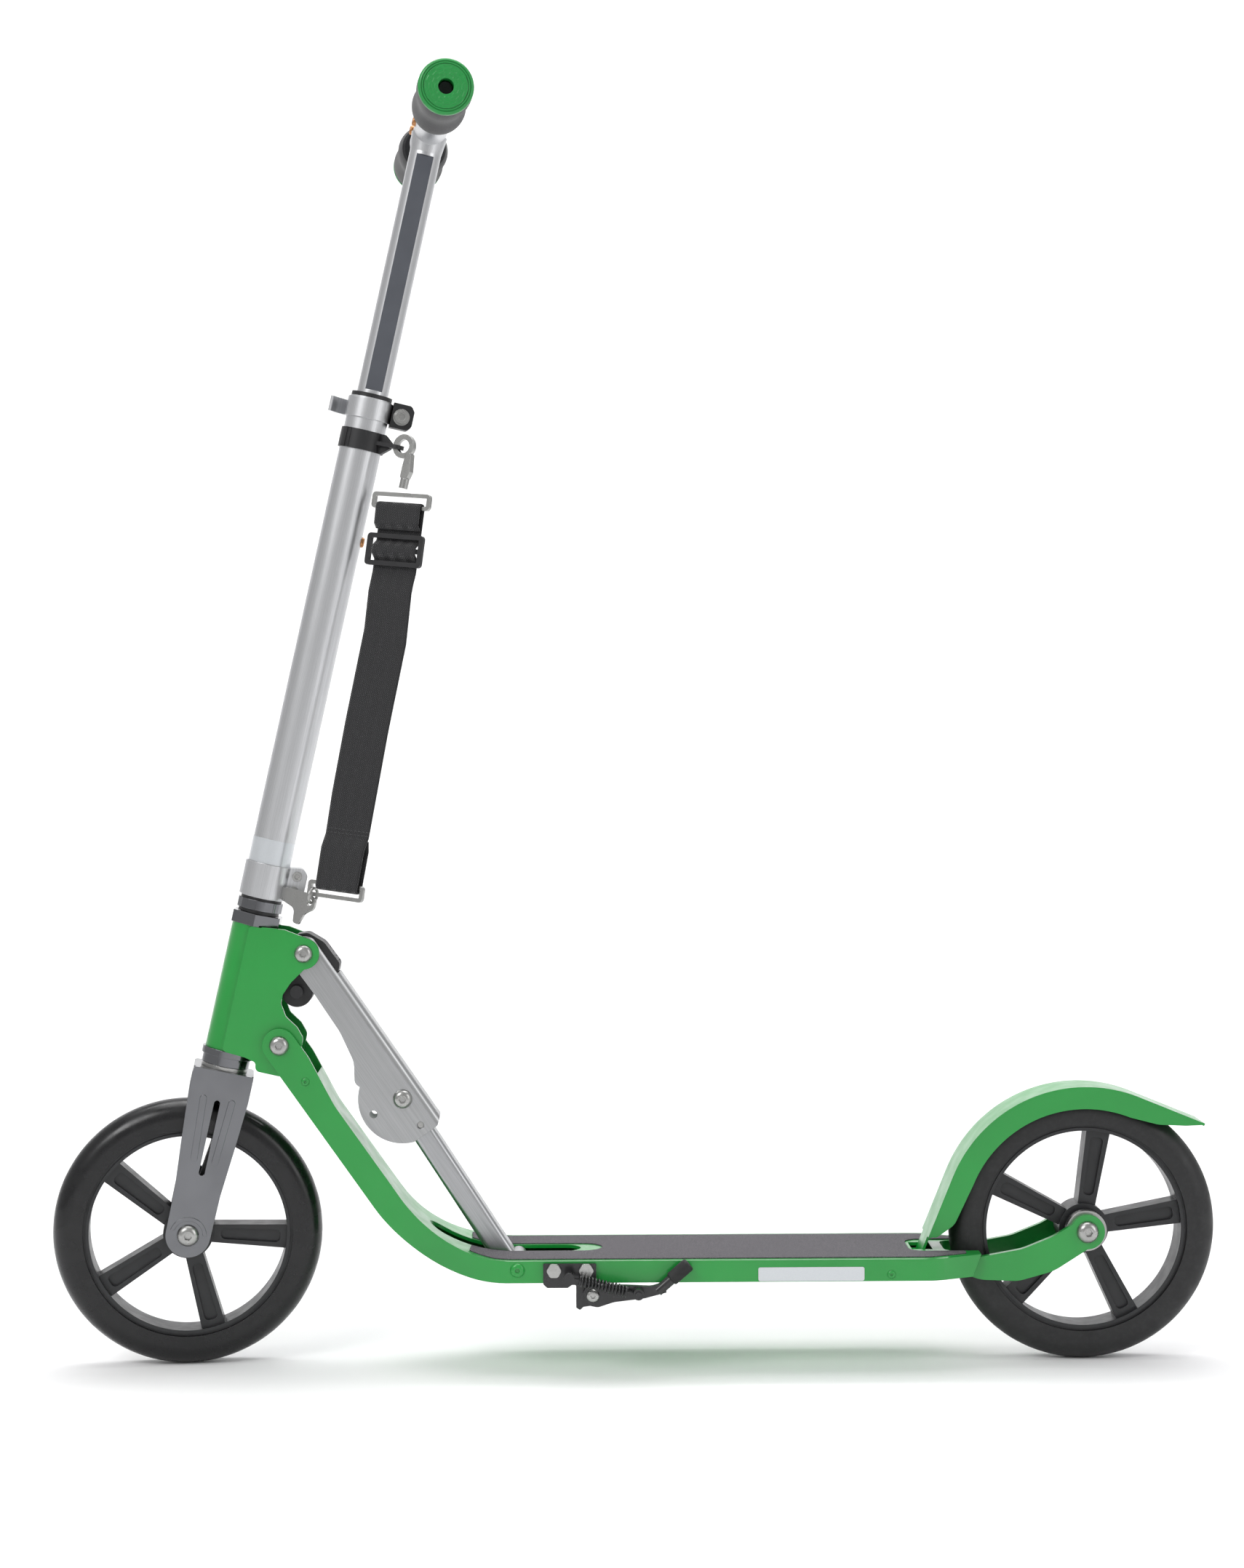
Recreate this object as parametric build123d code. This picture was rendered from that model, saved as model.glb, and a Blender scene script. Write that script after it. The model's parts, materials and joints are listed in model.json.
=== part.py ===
"""Folding kick scooter with 205 mm wheels, telescopic T-bar, fender brake, kickstand and shoulder strap.

The row frame: +X is the riding direction, +Y the rider's left, +Z up, millimetres.  The origin is
on the floor, midway along the scooter.  Everything that turns with the handlebar is drawn in the
steering frame (x forward of the steering axis, z along it from the front axle) and placed by STEER.
The folding strut is drawn in its own frame (x down the strut, z towards the down tube).
"""
from build123d import *

import os
from math import atan2, cos, degrees, hypot, radians, sin, tan

# ---- driving dimensions -------------------------------------------------------------------------
WHEEL_RADIUS = 102.5
TYRE_WIDTH = 30.0
REAR_AXLE_X = -343.8
FRONT_AXLE_X = 343.7
RAKE = 12.71                 # lean of the steering axis, degrees
REST_STEER = 6.05            # the bar rests turned this far to the left, degrees

DECK_WIDTH = 108.0
DECK_TOP = 87.0
DECK_BOTTOM = 70.5
DECK_WALL = 2.6
DECK_REAR = -262.0
DOWN_TUBE_SLOPE = 54.8       # degrees above the deck
DOWN_TUBE_HALF = 23.8
EAR_INNER = 20.3
EAR_RADIUS = 13.0
NOTCH_HALF = 20.6            # wheel notch in the rear of the deck
ARM_INNER = 26.5             # rear arm plates
ARM_OUTER = 31.5
FENDER_RADIUS = 109.5
FENDER_HALF = 20.0
FENDER_TONGUE = 14.0
FENDER_HINGE = (-216.0, 78.75)
FENDER_FRONT = 22.0          # the curved skin runs between these angles above the axle, degrees
FENDER_BACK = 112.0

FOLD_PIVOT = (271.25, 246.9)      # x, z: head bracket to frame
STRUT_PIVOT = (252.75, 316.5)     # x, z: upper strut to head bracket
FOOT_PIVOT = (90.35, 80.2)        # x, z: lower strut to deck
KNEE = (134.6, 2.2)               # the knee in the strut frame
LOCK_PIN = (158.9, 2.4)           # in the strut frame
BAR_SLOPE = 1.66                  # the lower strut falls away from the strut line, degrees
LEVER_PIVOT = (-3.0, -9.0)        # release lever pivot in the strut frame
ROLLER = (258.5, 287.0)           # x, z of the stop roller
PLATE_OUTER = 20.0                # head bracket plates
PLATE_INNER = 16.5
STRUT_HALF = 13.0                 # upper strut half width
STRUT_WALL = 2.0
LOWER_STRUT_HALF = 10.6

HEAD_TUBE_RADIUS = 17.8
HEAD_LOW = 143.0                  # steering-frame heights
HEAD_HIGH = 241.0
STEERER_RADIUS = 14.0
LOWER_STEM_RADIUS = 16.0
LOWER_STEM_BORE = 14.0
LOWER_STEM_LOW = 262.5
LOWER_STEM_HIGH = 652.0
UPPER_STEM_RADIUS = 12.0
UPPER_STEM_LOW = 465.0
BAR_HEIGHT = 860.9
BAR_HALF = 187.5
TEE_RADIUS = 12.6
TEE_HALF = 64.0
BAR_RADIUS = 11.0
BUTTON_Y = 20.0
GRIP_INNER = 86.0
CLAMP_BOLTS = ((-22.7, 283.9), (-22.7, 272.2))
CAP_RADIUS = 19.75
STRAP_TURN = 36.0                 # the strap hangs this far round from the rear, degrees
STRAP_TILT = 6.0                  # the tackle hangs this far out of square, degrees
WEBBING = 1.4
KICK_BOLTS = (62.9, 38.7)
KICK_PIVOT = (33.7, 62.4)         # x, z
RUN_GAP = 0.06                    # radial clearance of a turning pin
BODY_GAP = 0.3                    # clearance between pieces that move apart

HEAD = Location((FRONT_AXLE_X, 0, WHEEL_RADIUS), (0, -RAKE, 0))
STEER = HEAD * Rot(0, 0, REST_STEER)
STRAP = STEER * Rot(0, 0, -STRAP_TURN)
TACKLE = STRAP * Location((-46.5, 0, 586), (0, STRAP_TILT, 0))
STRUT_SLOPE = degrees(atan2(STRUT_PIVOT[1] - FOOT_PIVOT[1], STRUT_PIVOT[0] - FOOT_PIVOT[0]))
STRUT_LENGTH = hypot(STRUT_PIVOT[1] - FOOT_PIVOT[1], STRUT_PIVOT[0] - FOOT_PIVOT[0])
STRUT = Location((STRUT_PIVOT[0], 0, STRUT_PIVOT[1]), (0, 180 - STRUT_SLOPE, 0))


# ---- shared shapes ------------------------------------------------------------------------------
def outline(points, radii=0.0):
    """Closed face through the points, each corner rounded by its radius."""
    return make_face(FilletPolyline(*points, radius=radii, close=True).edges())


def slab(face, y_from, y_to):
    """Extrude an x-z outline from one y plane to another."""
    return Pos(0, y_to, 0) * extrude(Plane.XZ * face, amount=y_to - y_from)


def prism(face, z_from, z_to):
    """Extrude an x-y outline from one height to another."""
    return Pos(0, 0, z_from) * extrude(face, amount=z_to - z_from)


def both_sides(shape):
    return shape + mirror(shape, about=Plane.XZ)


def rod(radius, y_from, y_to, x=0.0, z=0.0):
    """Round bar along y."""
    middle = (y_from + y_to) / 2
    return Pos(x, middle, z) * Rot(90, 0, 0) * Cylinder(radius, y_to - y_from)


def tube(outer, inner, z_from, z_to):
    """Round tube along z, or a solid bar when the inner radius is 0."""
    middle = (z_from + z_to) / 2
    height = z_to - z_from
    bar = Pos(0, 0, middle) * Cylinder(outer, height)
    return bar - Pos(0, 0, middle) * Cylinder(inner, height + 2) if inner else bar


def collar(outer, inner, y_from, y_to, x=0.0, z=0.0):
    """Round tube along y."""
    return rod(outer, y_from, y_to, x, z) - rod(inner, y_from - 1, y_to + 1, x, z)


def button_head(radius, height, y_seat, x, z, side=1):
    """Domed screw head with a hexagon socket, standing on a face at y_seat."""
    profile = Polyline((0, 0), (radius, 0)) + ThreePointArc(
        (radius, 0), (radius * 0.8, height * 0.7), (radius * 0.45, height)
    )
    profile = profile + Polyline((radius * 0.45, height), (0, height), (0, 0))
    head = revolve(Plane.XZ * make_face(profile.edges()), Axis.Z)
    socket = Pos(0, 0, height * 0.4) * extrude(RegularPolygon(radius * 0.36, 6), amount=height)
    return Pos(x, y_seat, z) * Rot(-90 * side, 0, 0) * (head - socket)


def hex_nut(radius, height, y_seat, x, z, side=1):
    nut = extrude(RegularPolygon(radius, 6), amount=height)
    return Pos(x, y_seat, z) * Rot(-90 * side, 0, 0) * nut


def through_bolt(radius, head_radius, y_left, y_right, x, z):
    """Bolt along y: domed socket head on the left, hexagon nut on the right."""
    shank = rod(radius, y_right - 5.5, y_left + 0.5, x, z)
    head = button_head(head_radius, head_radius * 0.55, y_left, x, z)
    nut = hex_nut(head_radius, 5, y_right, x, z, side=-1)
    return shank + head + nut


# ---- deck and frame -----------------------------------------------------------------------------
def beside_tube(offset, down=0.0):
    """Point beside the fold pivot: offset up across the down tube, then down along it."""
    slope = radians(DOWN_TUBE_SLOPE)
    x = FOLD_PIVOT[0] - offset * sin(slope) - down * cos(slope)
    return x, FOLD_PIVOT[1] + offset * cos(slope) - down * sin(slope)


def tube_foot(offset, height):
    """Where the line beside the down tube reaches a height."""
    x, z = beside_tube(offset)
    return x - (z - height) / tan(radians(DOWN_TUBE_SLOPE)), height


def frame_side(wall=0.0):
    """Side outline of deck, bend and down tube; with a wall thickness, of the hollow inside."""
    reach = -60.0 if wall else 0.0
    points = [
        beside_tube(EAR_RADIUS - wall, reach),
        beside_tube(EAR_RADIUS - wall, 20),
        beside_tube(7.6 - wall, 62),
        tube_foot(7.6 - wall, DECK_TOP - wall),
        (DECK_REAR + wall, DECK_TOP - wall),
        (DECK_REAR + 7 + wall, DECK_BOTTOM + wall),
        tube_foot(-EAR_RADIUS + wall, DECK_BOTTOM + wall),
        beside_tube(-EAR_RADIUS + wall, reach),
    ]
    return outline(points, [0, 40, 60, 106 + wall, 0, 0, 124 - wall, 0])


def frame_plan(deck, neck, tail, rear):
    """Plan outline: a wide deck that narrows into the down tube and towards the rear arms."""
    half = [(rear, tail), (-226, deck), (112, deck), (176, neck), (330, neck)]
    other = [(x, -y) for x, y in reversed(half)]
    return outline(half + other, [0, 26, 70, 70, 0, 0, 70, 70, 26, 0])


def frame_solid():
    plan = frame_plan(DECK_WIDTH / 2, DOWN_TUBE_HALF, 36, DECK_REAR)
    tube_end = Pos(*FOLD_PIVOT) * Circle(EAR_RADIUS)
    return slab(frame_side() + tube_end, -60, 60) & prism(plan, 50, 300)


def frame_hollow():
    plan = frame_plan(DECK_WIDTH / 2 - DECK_WALL, EAR_INNER, 36 - DECK_WALL, DECK_REAR + DECK_WALL)
    hollow = slab(frame_side(DECK_WALL), -60, 60) & prism(plan, 50, 330)
    return hollow - wheel_notch(DECK_WALL)


def wheel_notch(wall=0.0):
    """Notch in the deck's rear edge round the rear tyre."""
    return prism(Pos(DECK_REAR - 30, 0) * RectangleRounded(112 + 2 * wall, 2 * (NOTCH_HALF + wall), 8), 50, 110)


def strut_slot():
    """Long slot in the deck top where the lower strut comes up."""
    through = prism(Pos(100.5, 0) * SlotOverall(116, 25), 60, 160)
    above = slab(outline([(30, 81.5), (112, 81.5), (134, 86), (170, 98), (170, 160), (30, 160)]), -20, 20)
    return through & above


def make_deck():
    deck = frame_solid() - frame_hollow() - wheel_notch()
    deck = deck - rod(36, -EAR_INNER, EAR_INNER, *FOLD_PIVOT)
    deck = deck - strut_slot()
    deck = deck - Pos(-219.5, 0, DECK_TOP) * Box(16, 2 * FENDER_TONGUE + 1.2, 12)
    deck = deck - rod(4.0 + RUN_GAP, -40, 40, *FOLD_PIVOT)
    deck = deck - rod(3.0, -60, 60, *FOOT_PIVOT)
    for x in KICK_BOLTS:
        deck = deck - rod(3.0, 40, 60, x, 80.7)
    for side in (1, -1):
        deck = deck - slab(rear_arm_outline(), *sorted((side * ARM_INNER, side * ARM_OUTER)))
    return deck


def make_grip_tape():
    """Anti-slip sheet on the deck, forked round the strut slot and the wheel notch."""
    cover = frame_solid()
    sheet = Pos(0, 0, 0.8) * cover - cover
    half = [(-251, 34), (-238, 40), (-222, 47.5), (108, 47.5), (127, 38), (126, 15.5)]
    plan = outline(half + [(x, -y) for x, y in reversed(half)], 4.0)
    plan = plan - Pos(86, 0) * SlotOverall(120, 31) - Pos(130, 0) * Rectangle(60, 31)
    plan = plan - Pos(-250, 0) * RectangleRounded(82, 2 * NOTCH_HALF + 8, 12)
    return sheet & prism(plan, 80, 130)


def rear_arm_outline():
    points = [
        (-205, 83), (-262, 84), (-294, 89.8), (-318, 99.5), (REAR_AXLE_X, 115.7),
        (REAR_AXLE_X, 89.3), (-318, 72.8), (-291, 65.3), (-262, 66.5), (-240, 74.5), (-205, 74.5),
    ]
    plate = outline(points, [0, 30, 40, 40, 0, 0, 40, 30, 30, 20, 0])
    return plate + Pos(REAR_AXLE_X, WHEEL_RADIUS) * Circle(13.2)


def make_rear_arms():
    """Two plates from inside the deck to the ends of the rear axle."""
    arm = slab(rear_arm_outline(), ARM_INNER, ARM_OUTER) - rod(4.0, 0, 60, REAR_AXLE_X, WHEEL_RADIUS)
    return Compound([arm, mirror(arm, about=Plane.XZ)])


def make_deck_rivets():
    """Small rivets in the frame sides and the long rivet that is the strut's foot pin."""
    rivets = [button_head(3.2, 1.2, DOWN_TUBE_HALF, 251.4, 219.4)]
    rivets += [button_head(3.2, 1.2, DECK_WIDTH / 2, -191.4, 75.5)]
    rivets += [button_head(3.2, 1.2, -DOWN_TUBE_HALF, 251.4, 219.4, side=-1)]
    rivets += [button_head(3.2, 1.2, -DECK_WIDTH / 2, -191.4, 75.5, side=-1)]
    foot = rod(3.0, -DECK_WIDTH / 2, DECK_WIDTH / 2, *FOOT_PIVOT)
    foot = foot + button_head(5.5, 2.0, DECK_WIDTH / 2, *FOOT_PIVOT)
    foot = foot + button_head(5.5, 2.0, -DECK_WIDTH / 2, *FOOT_PIVOT, side=-1)
    return Compound(rivets + [foot])


def make_side_sticker():
    """Thin reflective strip on each side of the deck."""
    strip = Pos(-131, 76.2) * RectangleRounded(80, 10.5, 1.5)
    left = slab(strip, DECK_WIDTH / 2, DECK_WIDTH / 2 + 0.25)
    return Compound([left, mirror(left, about=Plane.XZ)])


# ---- rear brake ---------------------------------------------------------------------------------
def make_fender():
    """Pressed fender that rubs on the tyre; its front leg goes down to a hinge inside the deck."""
    rim = FENDER_RADIUS
    ray = [(250 * cos(radians(a)), 250 * sin(radians(a))) for a in (FENDER_FRONT, 67, FENDER_BACK)]
    sector = make_face(Polyline((0, 0), *ray, close=True).edges())
    tail = Rot(0, 0, FENDER_BACK) * (Pos(rim - 1, 27.5) * Rectangle(2, 55))
    leg = Rot(0, 0, FENDER_FRONT) * (Pos(rim - 1, -25) * Rectangle(2, 50.5))
    tongue = Rot(0, 0, FENDER_FRONT) * (Pos(rim - 1, -59) * Rectangle(2, 19))
    tail_side = [(rim - 17, 0), (rim - 14, 22), (rim - 7, 42), (rim - 2, 53), (rim - 0.5, 53), (rim - 0.5, 0)]
    leg_side = [(rim - 17, 0), (rim - 15, -34), (rim - 6, -48), (rim - 0.5, -50), (rim - 0.5, 0)]
    skin = ((Circle(rim) - Circle(rim - 2)) & sector) + tail + leg
    side = (Circle(rim - 0.5) - Circle(rim - 17)) & sector
    side = side + Rot(0, 0, FENDER_BACK) * outline(tail_side, [0, 14, 14, 1, 0, 0])
    side = side + Rot(0, 0, FENDER_FRONT) * outline(leg_side, [0, 14, 6, 0, 0])
    axle = Pos(REAR_AXLE_X, WHEEL_RADIUS)
    fender = slab(axle * skin, -FENDER_HALF, FENDER_HALF)
    fender = fender + both_sides(slab(axle * side, FENDER_HALF - 2, FENDER_HALF))
    fender = fender + slab(axle * tongue, -FENDER_TONGUE, FENDER_TONGUE)
    fender = fender + rod(4.2, -FENDER_TONGUE, FENDER_TONGUE, *FENDER_HINGE)
    return fender - rod(2.0 + RUN_GAP, -30, 30, *FENDER_HINGE)


def make_fender_hinge():
    """Lugs on the deck floor with the hinge pin, and the return spring beside the knuckle."""
    lug = slab(Pos(FENDER_HINGE[0], DECK_BOTTOM + DECK_WALL + 4.8) * Rectangle(9, 9.6), 15, 18)
    hinge = both_sides(lug) + rod(2.0, -18, 25, *FENDER_HINGE)
    coil = collar(4.4, 3.6, 18.5, 24.5, *FENDER_HINGE)
    foot = Pos(FENDER_HINGE[0] + 12, 23, FENDER_HINGE[1] - 4.0) * Box(24, 1.0, 0.8)
    return Compound([hinge, coil + foot])


# ---- folding strut ------------------------------------------------------------------------------
def make_upper_strut():
    """Pressed channel, open towards the down tube, with a window for the release lever."""
    inner = STRUT_HALF - STRUT_WALL
    points = [
        (0, -12.75), (27, -13.5), (162, -13.5), (166.6, -8), (166.6, 8), (150, 8), (104, 25.5),
        (90, 16.4), (65, 12.1), (31, 11.6), (0, 12.5),
    ]
    side = outline(points, [0, 0, 4, 4, 0, 0, 6, 20, 40, 20, 0]) + Circle(12.75)
    cheek = (Pos(*KNEE) * Circle(34)) & (Pos(131.6, 30) * Rectangle(70, 60))
    side = side + cheek
    channel = RectangleRounded(60, 2 * STRUT_HALF, 6) - RectangleRounded(60 - 2 * STRUT_WALL, 2 * inner, 4)
    profile = Pos(-20, 0, 16.5) * (Rot(0, 90, 0) * extrude(channel, amount=200))
    strut = profile & slab(side, -STRUT_HALF, STRUT_HALF)
    strut = strut - Pos(5, 0, -14) * Box(44, 2 * inner, 16)
    strut = strut - rod(4.0 + RUN_GAP, -20, 20)
    strut = strut - rod(1.5, -20, 20, *LEVER_PIVOT)
    strut = strut - rod(4.0, -20, 20, *KNEE)
    strut = strut - rod(2.8, -20, 20, *LOCK_PIN) - rod(3.0, -20, 20, 131.6, 27.2)
    return STRUT * strut


def make_strut_pins():
    """Domed stub pins in the channel's two plates, each side of the knee, and the lever's pin."""
    head = button_head(7.5, 4.2, STRUT_HALF, *KNEE)
    head = head + rod(4.0, STRUT_HALF - STRUT_WALL + 0.1, STRUT_HALF + 0.2, *KNEE)
    lever_pin = rod(1.5, -STRUT_HALF, STRUT_HALF, *LEVER_PIVOT)
    return STRUT * Compound([head, mirror(head, about=Plane.XZ), lever_pin])


def make_lower_strut():
    """Round-cornered bar with an eye at the knee and one inside the deck."""
    points = [
        (128, -5.5), (276, -1.2), (290, -4.6), (291, 3.5), (283, 16.2), (270, 17.6), (128, 13.5),
    ]
    side = outline(points, [4, 4, 2, 2, 2, 6, 4])
    bar = extrude(RectangleRounded(17.7, 2 * LOWER_STRUT_HALF, 4), amount=175)
    bar = Pos(120, 0, 3.3) * Rot(0, 90 - BAR_SLOPE, 0) * bar
    strut = bar & slab(side, -LOWER_STRUT_HALF, LOWER_STRUT_HALF)
    strut = strut + rod(9.5, -LOWER_STRUT_HALF, LOWER_STRUT_HALF, *KNEE)
    strut = strut + rod(6.5, -LOWER_STRUT_HALF, LOWER_STRUT_HALF, STRUT_LENGTH, 0)
    strut = strut - rod(4.0, -20, 20, *KNEE) - rod(3.0 + RUN_GAP, -20, 20, STRUT_LENGTH, 0)
    return STRUT * (strut - rod(2.5, -20, 20, *LOCK_PIN))


def make_knee_pins():
    """Pin core of the knee and the spring plunger that locks it, both flush inside the strut."""
    knee = rod(4.0, -LOWER_STRUT_HALF, LOWER_STRUT_HALF, *KNEE)
    lock = rod(2.5, -LOWER_STRUT_HALF, LOWER_STRUT_HALF, *LOCK_PIN)
    return STRUT * Compound([knee, lock])


def make_release_lever():
    """Finger lever at the top of the strut."""
    points = [(-15.5, -2.5), (-11, -11), (2, -17), (22, -17.5), (26.6, -13), (26.6, -8), (6, -7), (-5, -6.6), (-12, -2.5)]
    side = outline(points, [1.2, 6, 10, 4, 2, 1.5, 4, 3, 1.2])
    lever = slab(side, -10.4, 10.4) - rod(1.5 + RUN_GAP, -20, 20, *LEVER_PIVOT)
    for s in (8, 12, 16, 20):
        lever = lever - rod(0.7, -8, 8, s, -17.6)
    return STRUT * lever


# ---- head bracket and headset -------------------------------------------------------------------
def make_head_bracket():
    """Head tube with two plates that carry the fold pivot and the strut pivot."""
    points = [
        (3, 241), (-24, 243.5), (-41.6, 240.8), (-53, 230), (-37, 205), (-33.1, 195), (-33.1, 188),
        (-39, 179), (-49, 173), (-55.3, 166), (-55.8, 152), (-49, 137), (-44.5, 133.5), (-25, 133.5), (-24, 140),
        (-15, 142), (3, 143),
    ]
    radii = [4, 8, 6, 6, 8, 3, 3, 6, 5, 6, 8, 4, 4, 4, 3, 2, 4]
    side = outline(points, radii) + Pos(-41.6, 228.8) * Circle(12)
    plate = slab(side, PLATE_INNER, PLATE_OUTER)
    core = tube(16, 0.0, 120, 260) + tube(19.8, 0.0, 120, HEAD_LOW) + tube(21.0, 0.0, HEAD_HIGH, 250)
    bracket = (plate + mirror(plate, about=Plane.XZ)) - core + tube(HEAD_TUBE_RADIUS, 16.0, HEAD_LOW, HEAD_HIGH)
    bracket = HEAD * bracket
    bracket = bracket + collar(7, 4.0 + RUN_GAP, -PLATE_INNER - 0.1, PLATE_INNER + 0.1, *FOLD_PIVOT)
    bracket = bracket - rod(4.0 + RUN_GAP, -40, 40, *FOLD_PIVOT)
    return bracket - rod(4.0, -40, 40, *STRUT_PIVOT)


def make_fold_bolt():
    return through_bolt(4.0, 7.5, DOWN_TUBE_HALF, -DOWN_TUBE_HALF, *FOLD_PIVOT)


def make_strut_bolt():
    """Pivot bolt of the upper strut with a bush each side of the channel."""
    bolt = through_bolt(4.0, 7.0, PLATE_OUTER, -PLATE_OUTER, *STRUT_PIVOT)
    bush = collar(7.5, 4.0, STRUT_HALF + BODY_GAP, PLATE_INNER, *STRUT_PIVOT)
    return Compound([bolt, bush, mirror(bush, about=Plane.XZ)])


def make_stop_roller():
    """Black roller on a spindle across the bracket."""
    return rod(12.0, -10.4, 10.4, *ROLLER) + rod(5, -PLATE_INNER, PLATE_INNER, *ROLLER)


def make_headset_cups():
    """Pressed cups in both ends of the head tube; the upper one is hexagonal."""
    lower = tube(19.6, 14.6, 138, HEAD_LOW) + tube(18.2, 16.0 + RUN_GAP, 131.2, 138)
    lower = lower + tube(16.0, 14.6, HEAD_LOW, 152)
    ring = extrude(Rot(0, 0, 30) * RegularPolygon(20.8, 6), amount=9) - Cylinder(16.0 + RUN_GAP, 40)
    upper = Pos(0, 0, HEAD_HIGH) * ring + tube(17, 14.6, HEAD_HIGH, 243) + tube(16.0, 14.6, 231, HEAD_HIGH)
    return HEAD * Compound([lower, upper])


def make_headset_bearings():
    """Bearings on the steerer and the race on the fork crown."""
    lower = tube(16.0, STEERER_RADIUS, 131.3, 137.5)
    upper = tube(16.0, STEERER_RADIUS, 243.5, 249.5)
    race = tube(17.6, STEERER_RADIUS, 128, 130.9)
    return STEER * Compound([lower, upper, race])


def make_headset_seals():
    """Dark washers above and below the lock nut."""
    seal = tube(15.6, STEERER_RADIUS, 250.4, 253)
    washer = tube(15.6, STEERER_RADIUS, 260.5, LOWER_STEM_LOW)
    return STEER * Compound([seal, washer])


def make_lock_nut():
    nut = extrude(RegularPolygon(18.2, 8), amount=7.5) & Cylinder(17.2, 40)
    return STEER * (Pos(0, 0, 253) * nut - Cylinder(STEERER_RADIUS, 700))



# ---- fork and wheels ----------------------------------------------------------------------------
def make_fork():
    """Pressed fork: flat crown, two slotted and ribbed blades, steerer tube."""
    points = [
        (-23, 128), (23, 128), (23, 108), (20.8, 75), (17.5, 34), (17, 0),
        (-17, 0), (-17.5, 34), (-20.8, 75), (-23, 108),
    ]
    side = outline(points, [2, 2, 20, 60, 0, 0, 0, 0, 60, 20]) + Circle(17)
    slot = Pos(0, 76.3) * Rot(0, 0, 90) * SlotOverall(58.6, 4.4)
    blade = slab(side, 17.5, 21.5) - slab(slot, 10, 30)
    for lean in (-1, 1):
        rib = Pos(9.5 * lean, 82) * Rot(0, 0, 90 - 3.5 * lean) * SlotOverall(52, 5)
        blade = blade + slab(rib, 21.4, 22.3)
    crescent = (Circle(14) - Circle(11.2)) & (Pos(0, 15) * Rectangle(40, 26))
    blade = blade + slab(crescent, 21.4, 22.2) - rod(4.0, 0, 40)
    crown = slab(Pos(0, 125) * Rectangle(46, 6), -17.6, 17.6)
    steerer = tube(STEERER_RADIUS, STEERER_RADIUS - 2, 122, 290)
    return STEER * (both_sides(blade) + crown + steerer)


def make_tyre(place):
    """Solid urethane tyre with a rounded tread, seated on the rim."""
    half = TYRE_WIDTH / 2
    tread = (Pos(0, 88.5) * Ellipse(half, WHEEL_RADIUS - 88.5)) & (Pos(0, 98.5) * Rectangle(40, 20))
    face = tread + Pos(0, 84.0) * Rectangle(TYRE_WIDTH, 9.0)
    face = face - Pos(0, 79.0) * Rectangle(TYRE_WIDTH - 5, 3.0)
    return place * revolve(Plane.YZ * face, Axis.Y)


def make_core(place):
    """Five-spoke moulded wheel core with recessed spokes."""
    half = TYRE_WIDTH / 2 - 1.2
    rim = collar(80.5, 75, -TYRE_WIDTH / 2 + 2.5, TYRE_WIDTH / 2 - 2.5)
    rim = rim + collar(77.5, 75, -half, half)
    core = rim + rod(19, -half, half)
    spoke_face = outline([(14, 6.6), (14, -6.6), (77, -9.2), (77, 9.2)])
    pocket_face = outline([(25, 4.0), (25, -4.0), (70, -5.0), (70, 5.0)], 3.4)
    spoke = slab(spoke_face, -9.5, 9.5) - both_sides(slab(pocket_face, 6.5, 12))
    for k in range(5):
        core = core + Rot(0, -(180 - 9 - 72 * k), 0) * spoke
    core = core - rod(11.0, 7, 20) - rod(11.0, -20, -7) - rod(8.0, -20, 20)
    return place * core


def make_wheel_bearings(place):
    """Two ball bearings pressed into the hub."""
    bearing = collar(11.0, 4.0 + RUN_GAP, 7, 14)
    return place * Compound([bearing, mirror(bearing, about=Plane.XZ)])


def make_axle(place, seat, inner):
    """Axle bolt with dome head and nut, spacers to the dropouts and the sleeve between bearings."""
    spacer = collar(6.5, 4.0, 14 + BODY_GAP, inner)
    if inner > 20:
        spacer = spacer + collar(15.5, 4.0, 18, inner)
    sleeve = collar(6.0, 4.0, -7 + BODY_GAP, 7 - BODY_GAP)
    bolt = through_bolt(4.0, 8.5, seat, -seat, 0, 0)
    return place * Compound([bolt, spacer, mirror(spacer, about=Plane.XZ), sleeve])


# ---- lower stem ---------------------------------------------------------------------------------
def make_lower_stem():
    stem = tube(LOWER_STEM_RADIUS, LOWER_STEM_BORE, LOWER_STEM_LOW, LOWER_STEM_HIGH)
    button_hole = Pos(-15, 0, 543.9) * Rot(0, 90, 0) * Cylinder(4.0 + BODY_GAP, 12)
    foot_slit = Pos(-15, 0, 278) * Box(10, 2.2, 34)
    top_slit = Pos(-15, 0, 640) * Box(10, 2.2, 34)
    return STEER * (stem - button_hole - foot_slit - top_slit)


def make_stem_clamp():
    """Clamp at the foot of the stem, with two ears at the back."""
    clamp = tube(17.8, LOWER_STEM_RADIUS, 263.3, 289)
    ears = [(-15.8, 264.3), (-26, 264.3), (-30.5, 268), (-30.5, 286), (-26, 290.6), (-15.8, 289)]
    ear = slab(outline(ears, [0, 4, 3, 3, 4, 0]), 1.1, 7) - Pos(0, 0, 278) * Cylinder(16.0, 60)
    clamp = clamp + both_sides(ear) - Pos(-18, 0, 278) * Box(20, 2.2, 40)
    for x, z in CLAMP_BOLTS:
        clamp = clamp - rod(2.5, -20, 20, x, z)
    return STEER * clamp


def make_clamp_bolts():
    """Two socket-head screws with nuts."""
    screws = []
    for x, z in CLAMP_BOLTS:
        head = rod(3.8, 7, 9.3, x, z) - Pos(x, 9.3, z) * Rot(90, 0, 0) * extrude(RegularPolygon(2.0, 6), 1.5)
        screws.append(head + rod(2.5, -9.5, 7.1, x, z) + hex_nut(4.4, 3.2, -7, x, z, side=-1))
    return STEER * Compound(screws)


def make_stem_band():
    """Reflective band above the clamp."""
    return STEER * tube(LOWER_STEM_RADIUS + 0.3, LOWER_STEM_RADIUS, 289.5, 308)


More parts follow.
